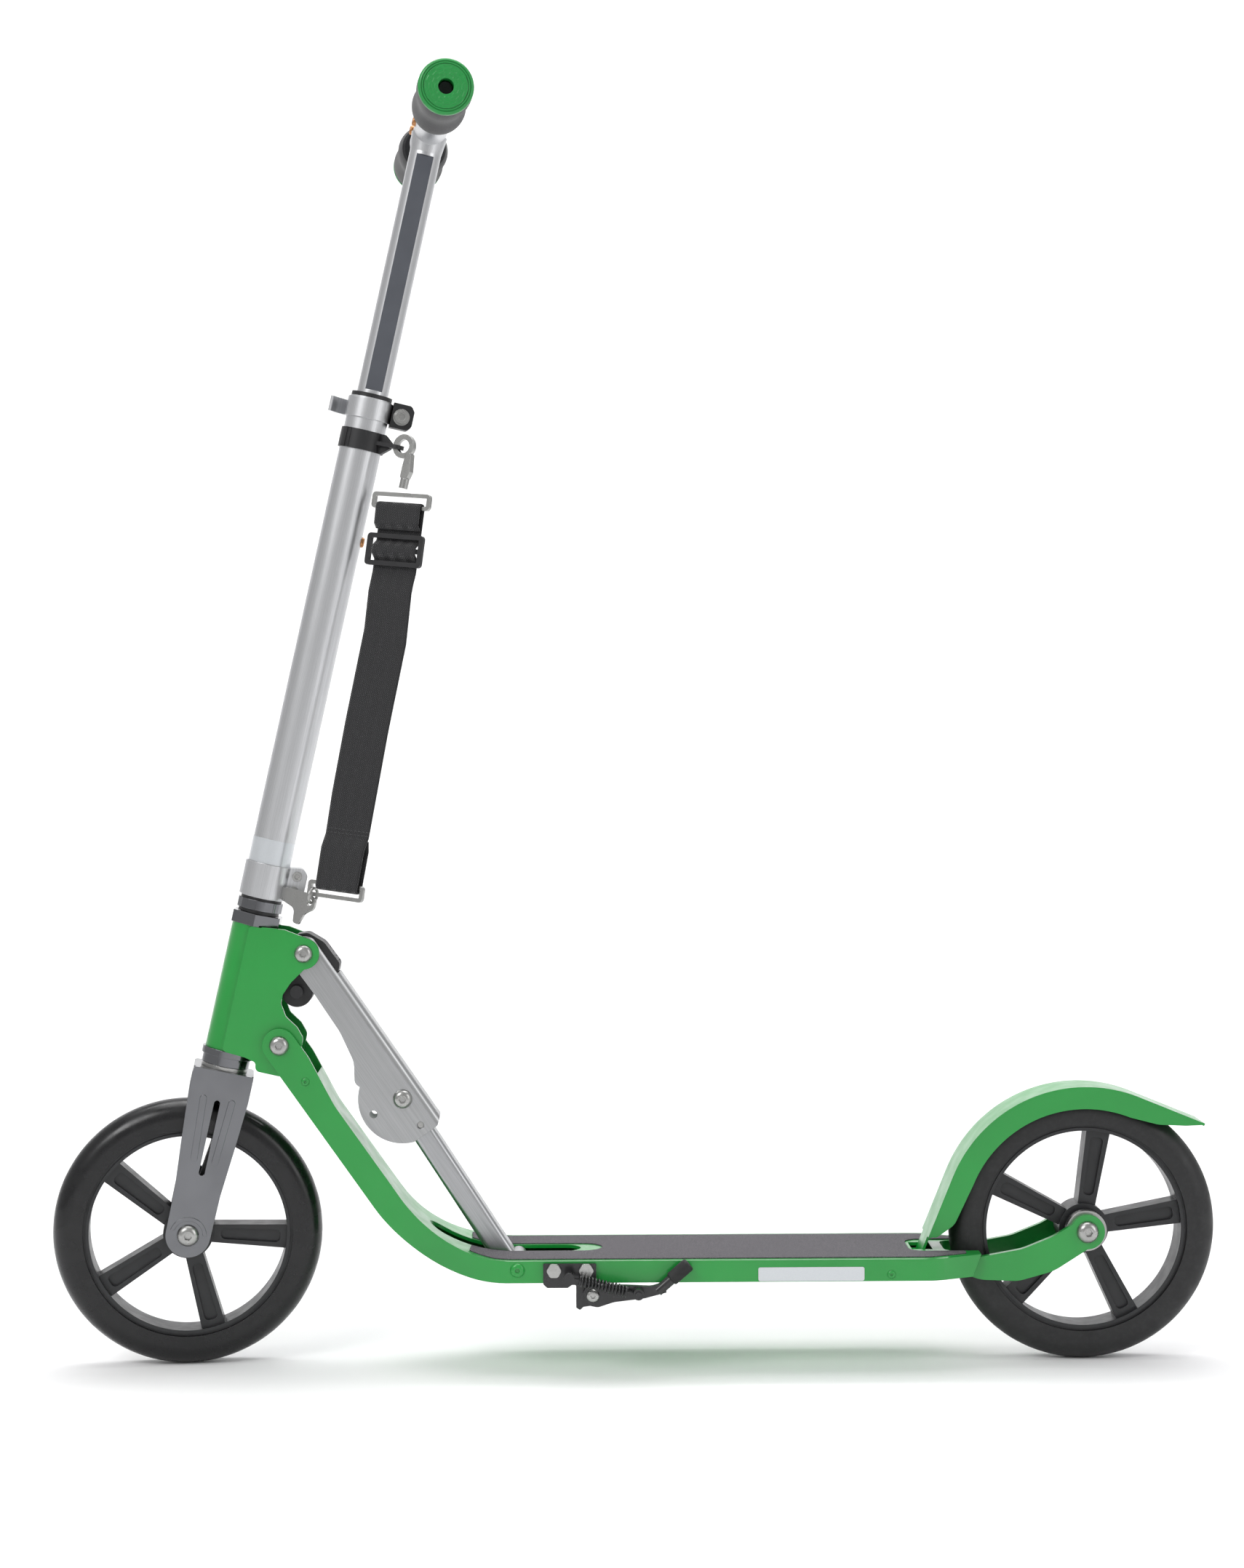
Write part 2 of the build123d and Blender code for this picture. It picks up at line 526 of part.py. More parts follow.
def make_stem_button():
    """Height button that stands out of the back of the lower stem."""
    button = Pos(0, 0, 2.0) * Cylinder(4.0, 4.0)
    button = fillet(button.edges().group_by(Axis.Z)[-1], 1.6)
    return STEER * Pos(-14.1, 0, 543.9) * Rot(0, -90, 0) * button


def make_stem_sleeve():
    """Plastic bush between the two stem tubes, with a lip on top."""
    bush = tube(LOWER_STEM_BORE, UPPER_STEM_RADIUS + 0.1, 600, LOWER_STEM_HIGH)
    lip = tube(15.6, UPPER_STEM_RADIUS + 0.1, LOWER_STEM_HIGH, 655.2)
    return STEER * (bush + lip)


def make_strap_clip():
    """Ribbed band round the stem with a lug for the shoulder strap."""
    band = tube(17.4, LOWER_STEM_RADIUS, 612, 627)
    for turn in (40, 52, 128, 140):
        band = band + Rot(0, 0, turn) * Pos(17.3, 0, 619.5) * Box(1.2, 1.6, 15)
    lug = prism(Pos(-25, 0) * RectangleRounded(24.8, 11, 5), 618, 621)
    lug = lug - Pos(-31.8, 0, 620) * Cylinder(3.3, 10)
    gusset = slab(outline([(-14, 608), (-27, 617), (-27, 622), (-14, 631)], 1), -1.6, 1.6)
    gusset = (gusset & tube(40, 0.0, 612, 627)) + lug
    gusset = gusset - tube(LOWER_STEM_RADIUS, 0.0, 590, 650)
    return STEER * (band + Rot(0, 0, -STRAP_TURN) * gusset)


# ---- quick release ------------------------------------------------------------------------------
def make_release_band():
    return STEER * (tube(17.4, LOWER_STEM_RADIUS, 636, 651) - Pos(-18, 0, 643) * Box(12, 2.2, 30))


def make_release_block():
    """Black ear block that the quick release squeezes."""
    points = [(-17.4, 634), (-31, 634), (-34, 637.5), (-34, 649), (-31, 653), (-17.4, 653)]
    block = both_sides(slab(outline(points, [0, 3, 3, 3, 3, 0]), 1.1, 8))
    block = block - Pos(0, 0, 643) * Cylinder(17.4, 60) - rod(2.5, -20, 20, -25, 643)
    barrel_seat = Pos(-25, -18, 643) * Cylinder(9.3, 40)
    return STEER * (block - barrel_seat)


def make_release_bolt():
    """Cross bolt with socket head and washer, threaded into the cam's barrel."""
    head = rod(5.0, 9, 13, -25, 643) - Pos(-25, 13, 643) * Rot(90, 0, 0) * extrude(RegularPolygon(2.9, 6), 2.4)
    washer = rod(6.3, 8, 9, -25, 643)
    barrel = Pos(-25, -18, 643) * Cylinder(5.0, 12)
    return STEER * (head + washer + rod(2.5, -18, 9, -25, 643) + barrel)


def make_release_lever_arm():
    """Cam lever: closed it lies along the right side of the stem, its tip in front."""
    arm = [(-25, -26.8), (0, -25.5), (17, -23.5), (27, -17), (30.5, -9.5), (28.5, -8), (24, -13.5), (15, -18.8), (-17, -19.0)]
    plan = outline(arm, [2, 20, 12, 8, 1.2, 1.0, 8, 8, 0]) + Pos(-25, -18) * Circle(8.9)
    lever = prism(plan, 637.2, 648.8)
    lever = lever - Pos(-25, -18, 643) * Cylinder(5.0 + RUN_GAP, 40)
    slot = Pos(-28.2, -14, 643) * Box(12.4, 12, 6) + Pos(-31, -19, 643) * Box(12, 9, 6)
    return STEER * (lever - slot)


# ---- upper stem and handlebar -------------------------------------------------------------------
def make_upper_stem():
    """Sliding tube with a flat-bottomed groove down each side, welded to its crosspiece."""
    stem = tube(UPPER_STEM_RADIUS, UPPER_STEM_RADIUS - 1.6, UPPER_STEM_LOW, BAR_HEIGHT)
    groove = Pos(0, UPPER_STEM_RADIUS + 0.1, 749) * Box(13, 4.4, 182)
    stem = stem - groove - mirror(groove, about=Plane.XZ)
    stem = stem - rod(TEE_RADIUS, -30, 30, 0, BAR_HEIGHT)
    sleeve = collar(TEE_RADIUS, BAR_RADIUS + 0.1, -TEE_HALF, TEE_HALF, 0, BAR_HEIGHT)
    saddle = Pos(0, 0, BAR_HEIGHT - 12) * Cone(UPPER_STEM_RADIUS - 0.2, TEE_RADIUS + 1.2, 16)
    saddle = saddle - rod(TEE_RADIUS - 0.2, -30, 30, 0, BAR_HEIGHT)
    saddle = saddle - Pos(0, 0, BAR_HEIGHT - 12) * Cylinder(UPPER_STEM_RADIUS - 0.6, 40)
    stem = stem + sleeve + saddle
    for y in (BUTTON_Y, -BUTTON_Y):
        stem = stem - Pos(12, y, BAR_HEIGHT) * Rot(0, 90, 0) * Cylinder(3.5 + BODY_GAP, 10)
    return STEER * stem


def make_stem_inlays():
    """Dark strips lying in the two grooves."""
    strip = Pos(0, UPPER_STEM_RADIUS - 1.9, 749) * Box(12.8, 0.4, 182)
    strip = strip & Pos(0, 0, 749) * Cylinder(UPPER_STEM_RADIUS, 200)
    return STEER * Compound([strip, mirror(strip, about=Plane.XZ)])


def make_tee_button(side):
    """Brass snap button that holds one grip's tube."""
    button = Pos(0, 0, 2.4) * Cylinder(3.5, 4.8)
    button = fillet(button.edges().group_by(Axis.Z)[-1], 1.5)
    return STEER * Pos(10.6, side * BUTTON_Y, BAR_HEIGHT) * Rot(0, 90, 0) * button


def make_bar(side):
    """Pull-out tube of one grip, slotted at the front so the button can be pushed anywhere."""
    bar = collar(BAR_RADIUS, BAR_RADIUS - 1.4, 3, 183.5, 0, BAR_HEIGHT)
    slot = Pos(BAR_RADIUS, 18, BAR_HEIGHT) * Box(8, 44, 9.4)
    bar = bar - slot
    return STEER * (bar if side > 0 else mirror(bar, about=Plane.XZ))


def make_grip(side):
    """Contoured foam grip."""
    line = Spline((17.2, GRIP_INNER + 2), (19.6, GRIP_INNER + 16), (17.6, 132), (19.8, 166), (19.2, 183.5))
    line = line + Polyline((19.2, 183.5), (BAR_RADIUS, 183.5), (BAR_RADIUS, GRIP_INNER), (15.2, GRIP_INNER), (17.2, GRIP_INNER + 2))
    grip = Pos(0, 0, BAR_HEIGHT) * revolve(Plane.XY * make_face(line.edges()), Axis.Y)
    return STEER * (grip if side > 0 else mirror(grip, about=Plane.XZ))


def make_end_cap(side):
    """Domed end cap with a centre hole and ring grooves."""
    cap = collar(CAP_RADIUS, 5.5, 183.5, BAR_HALF, 0, BAR_HEIGHT)
    cap = fillet(cap.edges().filter_by(GeomType.CIRCLE).sort_by(Axis.Y)[-2:].sort_by(SortBy.RADIUS)[-1], 2.4)
    plug = collar(BAR_RADIUS - 1.4, 5.5, 170, 183.5, 0, BAR_HEIGHT)
    cap = cap + plug
    for radius in (17.6, 16.0):
        cap = cap - collar(radius, radius - 0.5, BAR_HALF - 0.5, BAR_HALF + 1, 0, BAR_HEIGHT)
    return STEER * (cap if side > 0 else mirror(cap, about=Plane.XZ))


def make_elastic_cord():
    """Doubled elastic cord that ties both grips together, knotted behind the cap holes."""
    strands = rod(1.8, -176, 176, 0, BAR_HEIGHT + 1.9) + rod(1.8, -176, 176, 0, BAR_HEIGHT - 1.9)
    ends = rod(4.6, 174, 179, 0, BAR_HEIGHT) + rod(4.6, -179, -174, 0, BAR_HEIGHT)
    return STEER * (strands + ends)
# ---- shoulder strap -----------------------------------------------------------------------------
def bar_loop(x, z, width, height, wire, half, corner):
    """Flat rectangular loop in the tackle frame."""
    outer = Pos(x, z) * RectangleRounded(width, height, corner)
    inner = Pos(x, z) * RectangleRounded(width - 2 * wire, height - 2 * wire, max(corner - wire, 0.6))
    return slab(outer - inner, -half, half)


def make_upper_hook():
    """Hook through the clip's lug, with its swivel stub."""
    loop = Pos(-39, 621) * (Circle(9.2) - Circle(5.3))
    shank = outline([(-43, 616), (-47.6, 617), (-50, 603), (-48.6, 597), (-42.4, 597), (-42.4, 606)], 1.5)
    shank = shank - Pos(-39, 621) * Circle(5.3)
    swivel = Pos(-45.8, 0, 593.4) * Cylinder(3.4, 7.4)
    return STRAP * (slab(loop, -1.9, 1.9) + slab(shank, -2.6, 2.6) + swivel) - TACKLE * bar_loop(0, -6, 52, 12.4, 3.0, 1.5, 3)


def make_strap_metal():
    """Wire rings at both ends of the webbing, the steel tab on the clamp and its split ring."""
    upper = TACKLE * bar_loop(0, -6, 52, 12.4, 3.0, 1.5, 3)
    lower = TACKLE * bar_loop(13.4, -304.3, 50, 12.4, 3.0, 1.5, 3)
    points = [
        (-16.5, 275), (-42, 275), (-49.4, 271), (-49.4, 264), (-42, 259), (-38.4, 249.6), (-33.4, 250.5),
        (-32, 261), (-16.5, 265.5),
    ]
    tab = slab(outline(points, [0, 4, 3, 4, 6, 2, 2, 5, 0]), -1.2, 1.2)
    tab = tab - Pos(0, 0, 270) * Cylinder(17.8, 60) - rod(2.5, -5, 5, -44.5, 268.4)
    split = Pos(-45.5, 0, 274.0) * Rot(0, 90, 0) * Torus(5.6, 1.2)
    return Compound([upper, lower, STRAP * tab, STRAP * split])


def make_tri_glide():
    frame = bar_loop(0.6, -43.5, 50, 24.5, 3.6, 1.6, 3)
    middle = slab(Pos(0.6, -43.5) * Rectangle(45, 3.6), -1.6, 1.6)
    return TACKLE * (frame + middle)


def make_webbing():
    """Strap webbing: looped round both rings, over the tri-glide's middle bar, bowed outwards."""
    line = Polyline((-0.2, -27.5), (3.2, -24), (3.2, -10.8)) + ThreePointArc((3.2, -10.8), (0, -7.6), (-3.2, -10.8))
    line = line + Polyline(
        (-3.2, -10.8), (-2.6, -36.5), (2.5, -41), (2.5, -46), (-2.6, -50.5), (-2.6, -60), (0, -75),
        (0, -262), (3.2, -272), (3.2, -301),
    )
    line = line + ThreePointArc((3.2, -301), (0, -304.2), (-3.2, -301)) + Polyline((-3.2, -301), (-3.2, -272), (-0.7, -264.5))
    ribbon = trace(line, WEBBING)
    ribbon = TACKLE * (Pos(-30, 0, 0) * extrude(Plane.YZ * ribbon, amount=80))
    left = [(-24.9, 590), (-31.0, 545), (-33.3, 524), (-38.9, 480), (-40.2, 408), (-42.4, 353), (-48.8, 270)]
    right = [(-86.0, 270), (-82.4, 353), (-80.0, 408), (-78.7, 475), (-72.6, 521), (-70.6, 545), (-65.2, 590)]
    edge = Spline(*left) + Line(left[-1], right[0]) + Spline(*right) + Line(right[-1], left[0])
    plan = make_face(edge.edges())
    return ribbon & (STRAP * slab(plan, -8, 8))


# ---- kickstand ----------------------------------------------------------------------------------
def make_kick_bracket():
    side = DECK_WIDTH / 2
    points = [
        (71, 85.6), (71, 70.2), (68, 67.4), (52.5, 67.4), (49.5, 69.6), (46.3, 69.6), (46.3, 52.5),
        (43.4, 50.6), (40.8, 53), (27, 55), (23.5, 62), (31.2, 72), (31.2, 85.6),
    ]
    plate = slab(outline(points, [1, 2, 2, 2, 1, 1, 1, 1, 1, 5, 6, 3, 1]), side, side + 3)
    peg = rod(2.6, side, side + 18, 51.6, 77.5) + rod(4.0, side + 16.5, side + 18.5, 51.6, 77.5)
    bracket = plate + peg
    for x in KICK_BOLTS:
        bracket = bracket - rod(3.0, 0, 80, x, 80.7)
    return bracket - rod(3.0, 0, 80, *KICK_PIVOT)


def make_kick_bolts():
    """Two hexagon bolts through the bracket and the pivot bolt of the leg."""
    side = DECK_WIDTH / 2 + 3
    bolts = []
    for x in KICK_BOLTS:
        head = hex_nut(5.8, 3.8, side, x, 80.7)
        bolts.append((head & rod(5.4, side, side + 4, x, 80.7)) + rod(3.0, side - 8, side + 0.5, x, 80.7))
    bolts.append(rod(3.0, side - 3, side + 5.5, *KICK_PIVOT) + button_head(5.0, 2.0, side + 5.5, *KICK_PIVOT))
    return Compound(bolts)


def make_kick_leg():
    side = DECK_WIDTH / 2 + 3 + BODY_GAP
    points = [(41.5, 64), (39, 69), (12, 70), (-10, 69), (-21, 72), (-21.5, 64.5), (-5, 60.2), (18, 57.5), (30, 53.6), (37, 55)]
    plate = slab(outline(points, [4, 4, 8, 12, 0, 0, 12, 16, 6, 4]), side, side + 5)
    plate = plate - rod(3.0 + RUN_GAP, 0, 90, *KICK_PIVOT)
    start = Pos(-18, side + 2.5, 67.8)
    toe = start * Rot(0, -90 + 41, 0) * Pos(0, 0, 9) * Cylinder(4.0, 26)
    lug = rod(4.2, side + 4.9, side + 13.5, -0.4, 64.6) + rod(2.4, side + 13, side + 15.5, -0.4, 64.6)
    return plate + toe + lug


def make_kick_foot():
    """Rubber sleeve on the end of the leg."""
    side = DECK_WIDTH / 2 + 3 + BODY_GAP
    place = Pos(-18, side + 2.5, 67.8) * Rot(0, -90 + 41, 0)
    sleeve = Cylinder(5.3, 18)
    sleeve = fillet(sleeve.edges(), 1.6)
    return place * (Pos(0, 0, 18.2) * sleeve - Pos(0, 0, 9) * Cylinder(4.0, 26))


def make_kick_spring():
    """Extension spring between the bracket's peg and the leg's lug."""
    y = DECK_WIDTH / 2 + 3 + BODY_GAP + 10.5
    top = (47.5, 76.2)
    low = (4.5, 65.6)
    length = hypot(top[0] - low[0], top[1] - low[1])
    slope = degrees(atan2(top[1] - low[1], top[0] - low[0]))
    coils = length - 8
    path = Helix(coils / 14, coils, 3.9)
    wire = sweep(Plane(path @ 0, z_dir=path % 0) * Circle(0.7), path)
    place = Location((low[0], y, low[1]), (0, 90 - slope, 0))
    hooks = Pos(0, 0, 2) * Box(1.3, 4.2, 5) + Pos(0, 0, length - 2) * Box(1.3, 4.2, 5)
    caps = Pos(0, 0, 4.2) * Cylinder(3.9, 0.9) + Pos(0, 0, length - 4.2) * Cylinder(3.9, 0.9)
    return place * (Pos(0, 0, 4) * wire + hooks + caps)


# ---- output -------------------------------------------------------------------------------------
def main():
    front = STEER
    rear = Location((REAR_AXLE_X, 0, WHEEL_RADIUS))
    parts = {
        "deck_frame": make_deck(),
        "grip_tape": make_grip_tape(),
        "rear_arms": make_rear_arms(),
        "deck_rivets": make_deck_rivets(),
        "side_stickers": make_side_sticker(),
        "fender_brake": make_fender(),
        "fender_hinge": make_fender_hinge(),
        "upper_strut": make_upper_strut(),
        "strut_pins": make_strut_pins(),
        "lower_strut": make_lower_strut(),
        "knee_pins": make_knee_pins(),
        "release_lever": make_release_lever(),
        "head_bracket": make_head_bracket(),
        "fold_bolt": make_fold_bolt(),
        "strut_bolt": make_strut_bolt(),
        "stop_roller": make_stop_roller(),
        "headset_cups": make_headset_cups(),
        "headset_bearings": make_headset_bearings(),
        "headset_seals": make_headset_seals(),
        "lock_nut": make_lock_nut(),
        "fork": make_fork(),
        "front_tyre": make_tyre(front),
        "front_core": make_core(front),
        "front_bearings": make_wheel_bearings(front),
        "front_axle": make_axle(front, 21.5, 17.5),
        "rear_tyre": make_tyre(rear),
        "rear_core": make_core(rear),
        "rear_bearings": make_wheel_bearings(rear),
        "rear_axle": make_axle(rear, ARM_OUTER, ARM_INNER),
        "lower_stem": make_lower_stem(),
        "stem_clamp": make_stem_clamp(),
        "clamp_bolts": make_clamp_bolts(),
        "stem_band": make_stem_band(),
        "stem_button": make_stem_button(),
        "stem_sleeve": make_stem_sleeve(),
        "strap_clip": make_strap_clip(),
        "release_band": make_release_band(),
        "release_block": make_release_block(),
        "release_bolt": make_release_bolt(),
        "clamp_lever": make_release_lever_arm(),
        "upper_stem": make_upper_stem(),
        "stem_inlays": make_stem_inlays(),
        "tee_button_left": make_tee_button(1),
        "tee_button_right": make_tee_button(-1),
        "bar_left": make_bar(1),
        "bar_right": make_bar(-1),
        "grip_left": make_grip(1),
        "grip_right": make_grip(-1),
        "end_cap_left": make_end_cap(1),
        "end_cap_right": make_end_cap(-1),
        "elastic_cord": make_elastic_cord(),
        "upper_hook": make_upper_hook(),
        "strap_metal": make_strap_metal(),
        "tri_glide": make_tri_glide(),
        "webbing": make_webbing(),
        "kick_bracket": make_kick_bracket(),
        "kick_bolts": make_kick_bolts(),
        "kick_leg": make_kick_leg(),
        "kick_foot": make_kick_foot(),
        "kick_spring": make_kick_spring(),
    }
    os.makedirs("parts", exist_ok=True)
    for name, shape in parts.items():
        export_step(shape, f"parts/{name}.step")


main()
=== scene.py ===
"""Looks, light and camera of the folding kick scooter.

CAD nodes keep their shape and get procedural finishes.  The shoulder strap's webbing is modelled here as
a sheet that stands for the CAD webbing.  Lengths in the strap section are millimetres.
"""
import json
import math

import bpy
from mathutils import Matrix, Vector


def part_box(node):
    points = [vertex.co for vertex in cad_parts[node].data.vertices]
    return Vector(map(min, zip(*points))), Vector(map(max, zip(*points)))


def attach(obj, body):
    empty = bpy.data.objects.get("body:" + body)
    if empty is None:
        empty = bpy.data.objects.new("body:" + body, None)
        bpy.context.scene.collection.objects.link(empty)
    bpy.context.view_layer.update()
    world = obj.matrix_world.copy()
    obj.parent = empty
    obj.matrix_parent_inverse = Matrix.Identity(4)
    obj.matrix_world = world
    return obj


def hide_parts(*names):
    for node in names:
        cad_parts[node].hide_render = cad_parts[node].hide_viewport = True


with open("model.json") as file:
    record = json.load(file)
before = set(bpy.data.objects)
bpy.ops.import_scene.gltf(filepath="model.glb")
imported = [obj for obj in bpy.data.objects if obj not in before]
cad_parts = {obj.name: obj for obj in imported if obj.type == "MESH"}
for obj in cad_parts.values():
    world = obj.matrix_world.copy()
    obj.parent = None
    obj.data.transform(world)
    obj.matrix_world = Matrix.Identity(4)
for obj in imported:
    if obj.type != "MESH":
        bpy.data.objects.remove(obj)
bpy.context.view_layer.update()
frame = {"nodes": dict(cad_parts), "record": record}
SLOT_OF = {part["node"]: part["material_slot"] for part in frame["record"]["subparts"]}

# ---- the steering frame --------------------------------------------------------------------------
RAKE = math.radians(-12.71)
REST_STEER = math.radians(6.05)
STEER = (
    Matrix.Translation((343.7, 0, 102.5))
    @ Matrix.Rotation(RAKE, 4, "Y")
    @ Matrix.Rotation(REST_STEER, 4, "Z")
)
STRAP = STEER @ Matrix.Rotation(math.radians(-36), 4, "Z")
STEM_AXIS = (STEER.to_3x3() @ Vector((0, 0, 1))).normalized()
MM = 0.001


def srgb(r, g, b):
    """Linear colour from 8-bit display values."""
    def channel(v):
        v = v / 255
        return v / 12.92 if v <= 0.04045 else ((v + 0.055) / 1.055) ** 2.4
    return (channel(r), channel(g), channel(b), 1.0)


# ---- shader helpers ------------------------------------------------------------------------------
class Finish:
    """A node material on one principled shader, with edges softened by the bevel node."""

    def __init__(self, name, edge=0.0004):
        self.mat = bpy.data.materials.new(name)
        self.mat.use_nodes = True
        self.tree = self.mat.node_tree
        self.shader = self.tree.nodes["Principled BSDF"]
        self.coord = self.add("ShaderNodeTexCoord").outputs["Object"]
        bevel = self.add("ShaderNodeBevel")
        bevel.samples = 4
        bevel.inputs["Radius"].default_value = edge
        self.normal = bevel.outputs["Normal"]

    def add(self, kind):
        return self.tree.nodes.new(kind)

    def link(self, a, b):
        self.tree.links.new(a, b)

    def set(self, **values):
        for key, value in values.items():
            self.shader.inputs[key.replace("_", " ")].default_value = value
        return self

    def math(self, operation, a, b=None):
        node = self.add("ShaderNodeMath")
        node.operation = operation
        for socket, value in zip(node.inputs, (a, b)):
            if value is None:
                continue
            if isinstance(value, (int, float)):
                socket.default_value = value
            else:
                self.link(value, socket)
        return node.outputs[0]

    def stretched(self, axis, along, across):
        """Object coordinates scaled one way along an axis and another across it."""
        turn = self.add("ShaderNodeMapping")
        spin = Vector(axis).rotation_difference(Vector((0, 0, 1))).to_euler()
        turn.inputs["Rotation"].default_value = spin
        self.link(self.coord, turn.inputs["Vector"])
        scale = self.add("ShaderNodeMapping")
        scale.inputs["Scale"].default_value = (across, across, along)
        self.link(turn.outputs["Vector"], scale.inputs["Vector"])
        return scale.outputs["Vector"]

    def noise(self, scale, detail=2.0, rough=0.5, vector=None):
        node = self.add("ShaderNodeTexNoise")
        node.inputs["Scale"].default_value = scale
        node.inputs["Detail"].default_value = detail
        node.inputs["Roughness"].default_value = rough
        self.link(vector or self.coord, node.inputs["Vector"])
        return node.outputs["Fac"]

    def cells(self, scale):
        node = self.add("ShaderNodeTexVoronoi")
        node.inputs["Scale"].default_value = scale
        self.link(self.coord, node.inputs["Vector"])
        return node.outputs["Distance"]

    def ramp(self, value, low, high, start=0.35, end=0.65):
        node = self.add("ShaderNodeMapRange")
        node.inputs["From Min"].default_value = start
        node.inputs["From Max"].default_value = end
        node.inputs["To Min"].default_value = low
        node.inputs["To Max"].default_value = high
        self.link(value, node.inputs["Value"])
        return node.outputs["Result"]

    def tint(self, value, one, two):
        node = self.add("ShaderNodeMix")
        node.data_type = "RGBA"
        node.inputs[6].default_value = one
        node.inputs[7].default_value = two
        self.link(value, node.inputs[0])
        self.link(node.outputs[2], self.shader.inputs["Base Color"])

    def roughness(self, value, low, high, start=0.35, end=0.65):
        self.link(self.ramp(value, low, high, start, end), self.shader.inputs["Roughness"])

    def bump(self, height, depth, strength=1.0):
        """Adds one layer of relief, depth in metres."""
        node = self.add("ShaderNodeBump")
        node.inputs["Distance"].default_value = depth
        node.inputs["Strength"].default_value = strength
        self.link(height, node.inputs["Height"])
        self.link(self.normal, node.inputs["Normal"])
        self.normal = node.outputs["Normal"]

    def done(self):
        self.link(self.normal, self.shader.inputs["Normal"])
        return self.mat


def dark(colour, by=0.8):
    return (colour[0] * by, colour[1] * by, colour[2] * by, 1.0)


# ---- finishes ------------------------------------------------------------------------------------
def green_paint():
    """Powder coat: thick, glossy, with a faint orange-peel skin."""
    f = Finish("green_paint", 0.0008).set(Coat_Weight=0.5, Coat_Roughness=0.12, Specular_IOR_Level=0.5)
    green = srgb(6, 142, 50)
    f.tint(f.ramp(f.noise(14, 3), 0.0, 1.0), green, dark(green, 0.9))
    f.roughness(f.noise(60, 3), 0.3, 0.42)
    f.bump(f.noise(900, 1), 0.00003, 0.5)
    return f.done()


def alloy(name, colour, axis, rough=(0.28, 0.4), metal=1.0):
    """Anodised aluminium with a fine drawn grain along one axis."""
    f = Finish(name, 0.0005).set(Metallic=metal)
    grain = f.noise(1.0, 2, 0.6, f.stretched(axis, 18, 1900))
    f.tint(f.ramp(grain, 0.0, 1.0), colour, dark(colour, 0.86))
    f.roughness(grain, *rough)
    f.bump(grain, 0.00001, 0.35)
    return f.done()


def chrome(name, colour, rough, spots=35):
    f = Finish(name, 0.0006).set(Metallic=1.0)
    smears = f.noise(spots, 4)
    f.tint(f.ramp(smears, 0.0, 1.0), colour, dark(colour, 0.92))
    f.roughness(smears, rough, rough + 0.09)
    f.bump(f.noise(700, 2), 0.000008, 0.3)
    return f.done()


def plastic(name, colour, rough, grain=1500, depth=0.00002, coat=0.0):
    f = Finish(name).set(Coat_Weight=coat, Coat_Roughness=0.15, Specular_IOR_Level=0.5)
    f.tint(f.ramp(f.noise(40, 3), 0.0, 1.0), colour, dark(colour, 0.88))
    f.roughness(f.noise(90, 3), rough, rough + 0.1)
    f.bump(f.noise(grain, 2), depth, 0.5)
    return f.done()


def cap_plastic(name, colour, centre, axis):
    """Moulded end cap: a ring of raised petals round the middle of its outer face."""
    f = Finish(name, 0.0006).set(Coat_Weight=0.2, Coat_Roughness=0.25)
    f.tint(f.ramp(f.noise(60, 3), 0.0, 1.0), colour, dark(colour, 0.9))
    f.roughness(f.noise(120, 2), 0.36, 0.48)
    offset = f.add("ShaderNodeVectorMath")
    offset.operation = "SUBTRACT"
    offset.inputs[1].default_value = centre
    f.link(f.coord, offset.inputs[0])

    def along(direction):
        dot = f.add("ShaderNodeVectorMath")
        dot.operation = "DOT_PRODUCT"
        dot.inputs[1].default_value = direction
        f.link(offset.outputs["Vector"], dot.inputs[0])
        return dot.outputs["Value"]

    up = Vector(STEM_AXIS)
    side = Vector(axis).cross(up).normalized()
    a = along(side)
    b = along(up)
    reach = f.math("SQRT", f.math("ADD", f.math("MULTIPLY", a, a), f.math("MULTIPLY", b, b)))
    petals = f.math("SINE", f.math("MULTIPLY", f.math("ARCTAN2", b, a), 8.0))
    waves = f.math("SINE", f.math("MULTIPLY", reach, 2.0 * math.pi / 0.0042))
    inner = f.ramp(reach, 0.0, 1.0, 0.0055, 0.0075)
    outer = f.ramp(reach, 1.0, 0.0, 0.0145, 0.016)
    band = f.math("MULTIPLY", inner, outer)
    relief = f.math("MULTIPLY", f.math("MULTIPLY", petals, waves), band)
    f.bump(f.ramp(relief, 0.0, 1.0, -0.3, 0.3), 0.00035, 0.8)
    f.bump(f.noise(1400, 2), 0.00002, 0.4)
    return f.done()


def tyre(name, colour, rough):
    """Cast urethane: smooth sides, faint scuffs on the running band."""
    f = Finish(name, 0.0006).set(Specular_IOR_Level=0.45)
    scuff = f.noise(260, 4, 0.65)
    f.tint(f.ramp(scuff, 0.0, 1.0, 0.45, 0.7), colour, dark(colour, 1.6))
    f.roughness(f.noise(70, 3), rough, rough + 0.14)
    f.bump(scuff, 0.00003, 0.4)
    return f.done()


def foam():
    """Closed-cell foam: matt, with small open pores."""
    f = Finish("foam", 0.001).set(Sheen_Weight=0.25, Sheen_Roughness=0.5, Specular_IOR_Level=0.25)
    black = srgb(34, 34, 36)
    pores = f.cells(1500)
    # painted shade: the pores, sunk by the bump below, are also painted darker than the foam round them
    f.tint(f.ramp(pores, 0.0, 1.0, 0.15, 0.6), dark(black, 0.55), black)
    f.roughness(pores, 0.82, 0.95)
    f.bump(pores, 0.00016, 0.8)
    f.bump(f.noise(260, 3), 0.00012, 0.5)
    return f.done()


def grip_sheet():
    """Coarse grit on the deck, grey-black, with pale specks on the raised grit painted in as glints."""
    f = Finish("grip_tape", 0.0002).set(Specular_IOR_Level=0.4)
    grit = f.cells(1900)
    fine = f.noise(2600, 2, 0.7)
    # painted highlights: the colour turns pale where the fine relief peaks, standing in for the grit's
    # glints
    f.tint(f.ramp(fine, 0.0, 1.0, 0.42, 0.72), srgb(52, 50, 54), srgb(138, 134, 140))
    f.roughness(fine, 0.7, 0.95)
    f.bump(grit, 0.0003, 0.9)
    f.bump(fine, 0.0002, 0.7)
    return f.done()


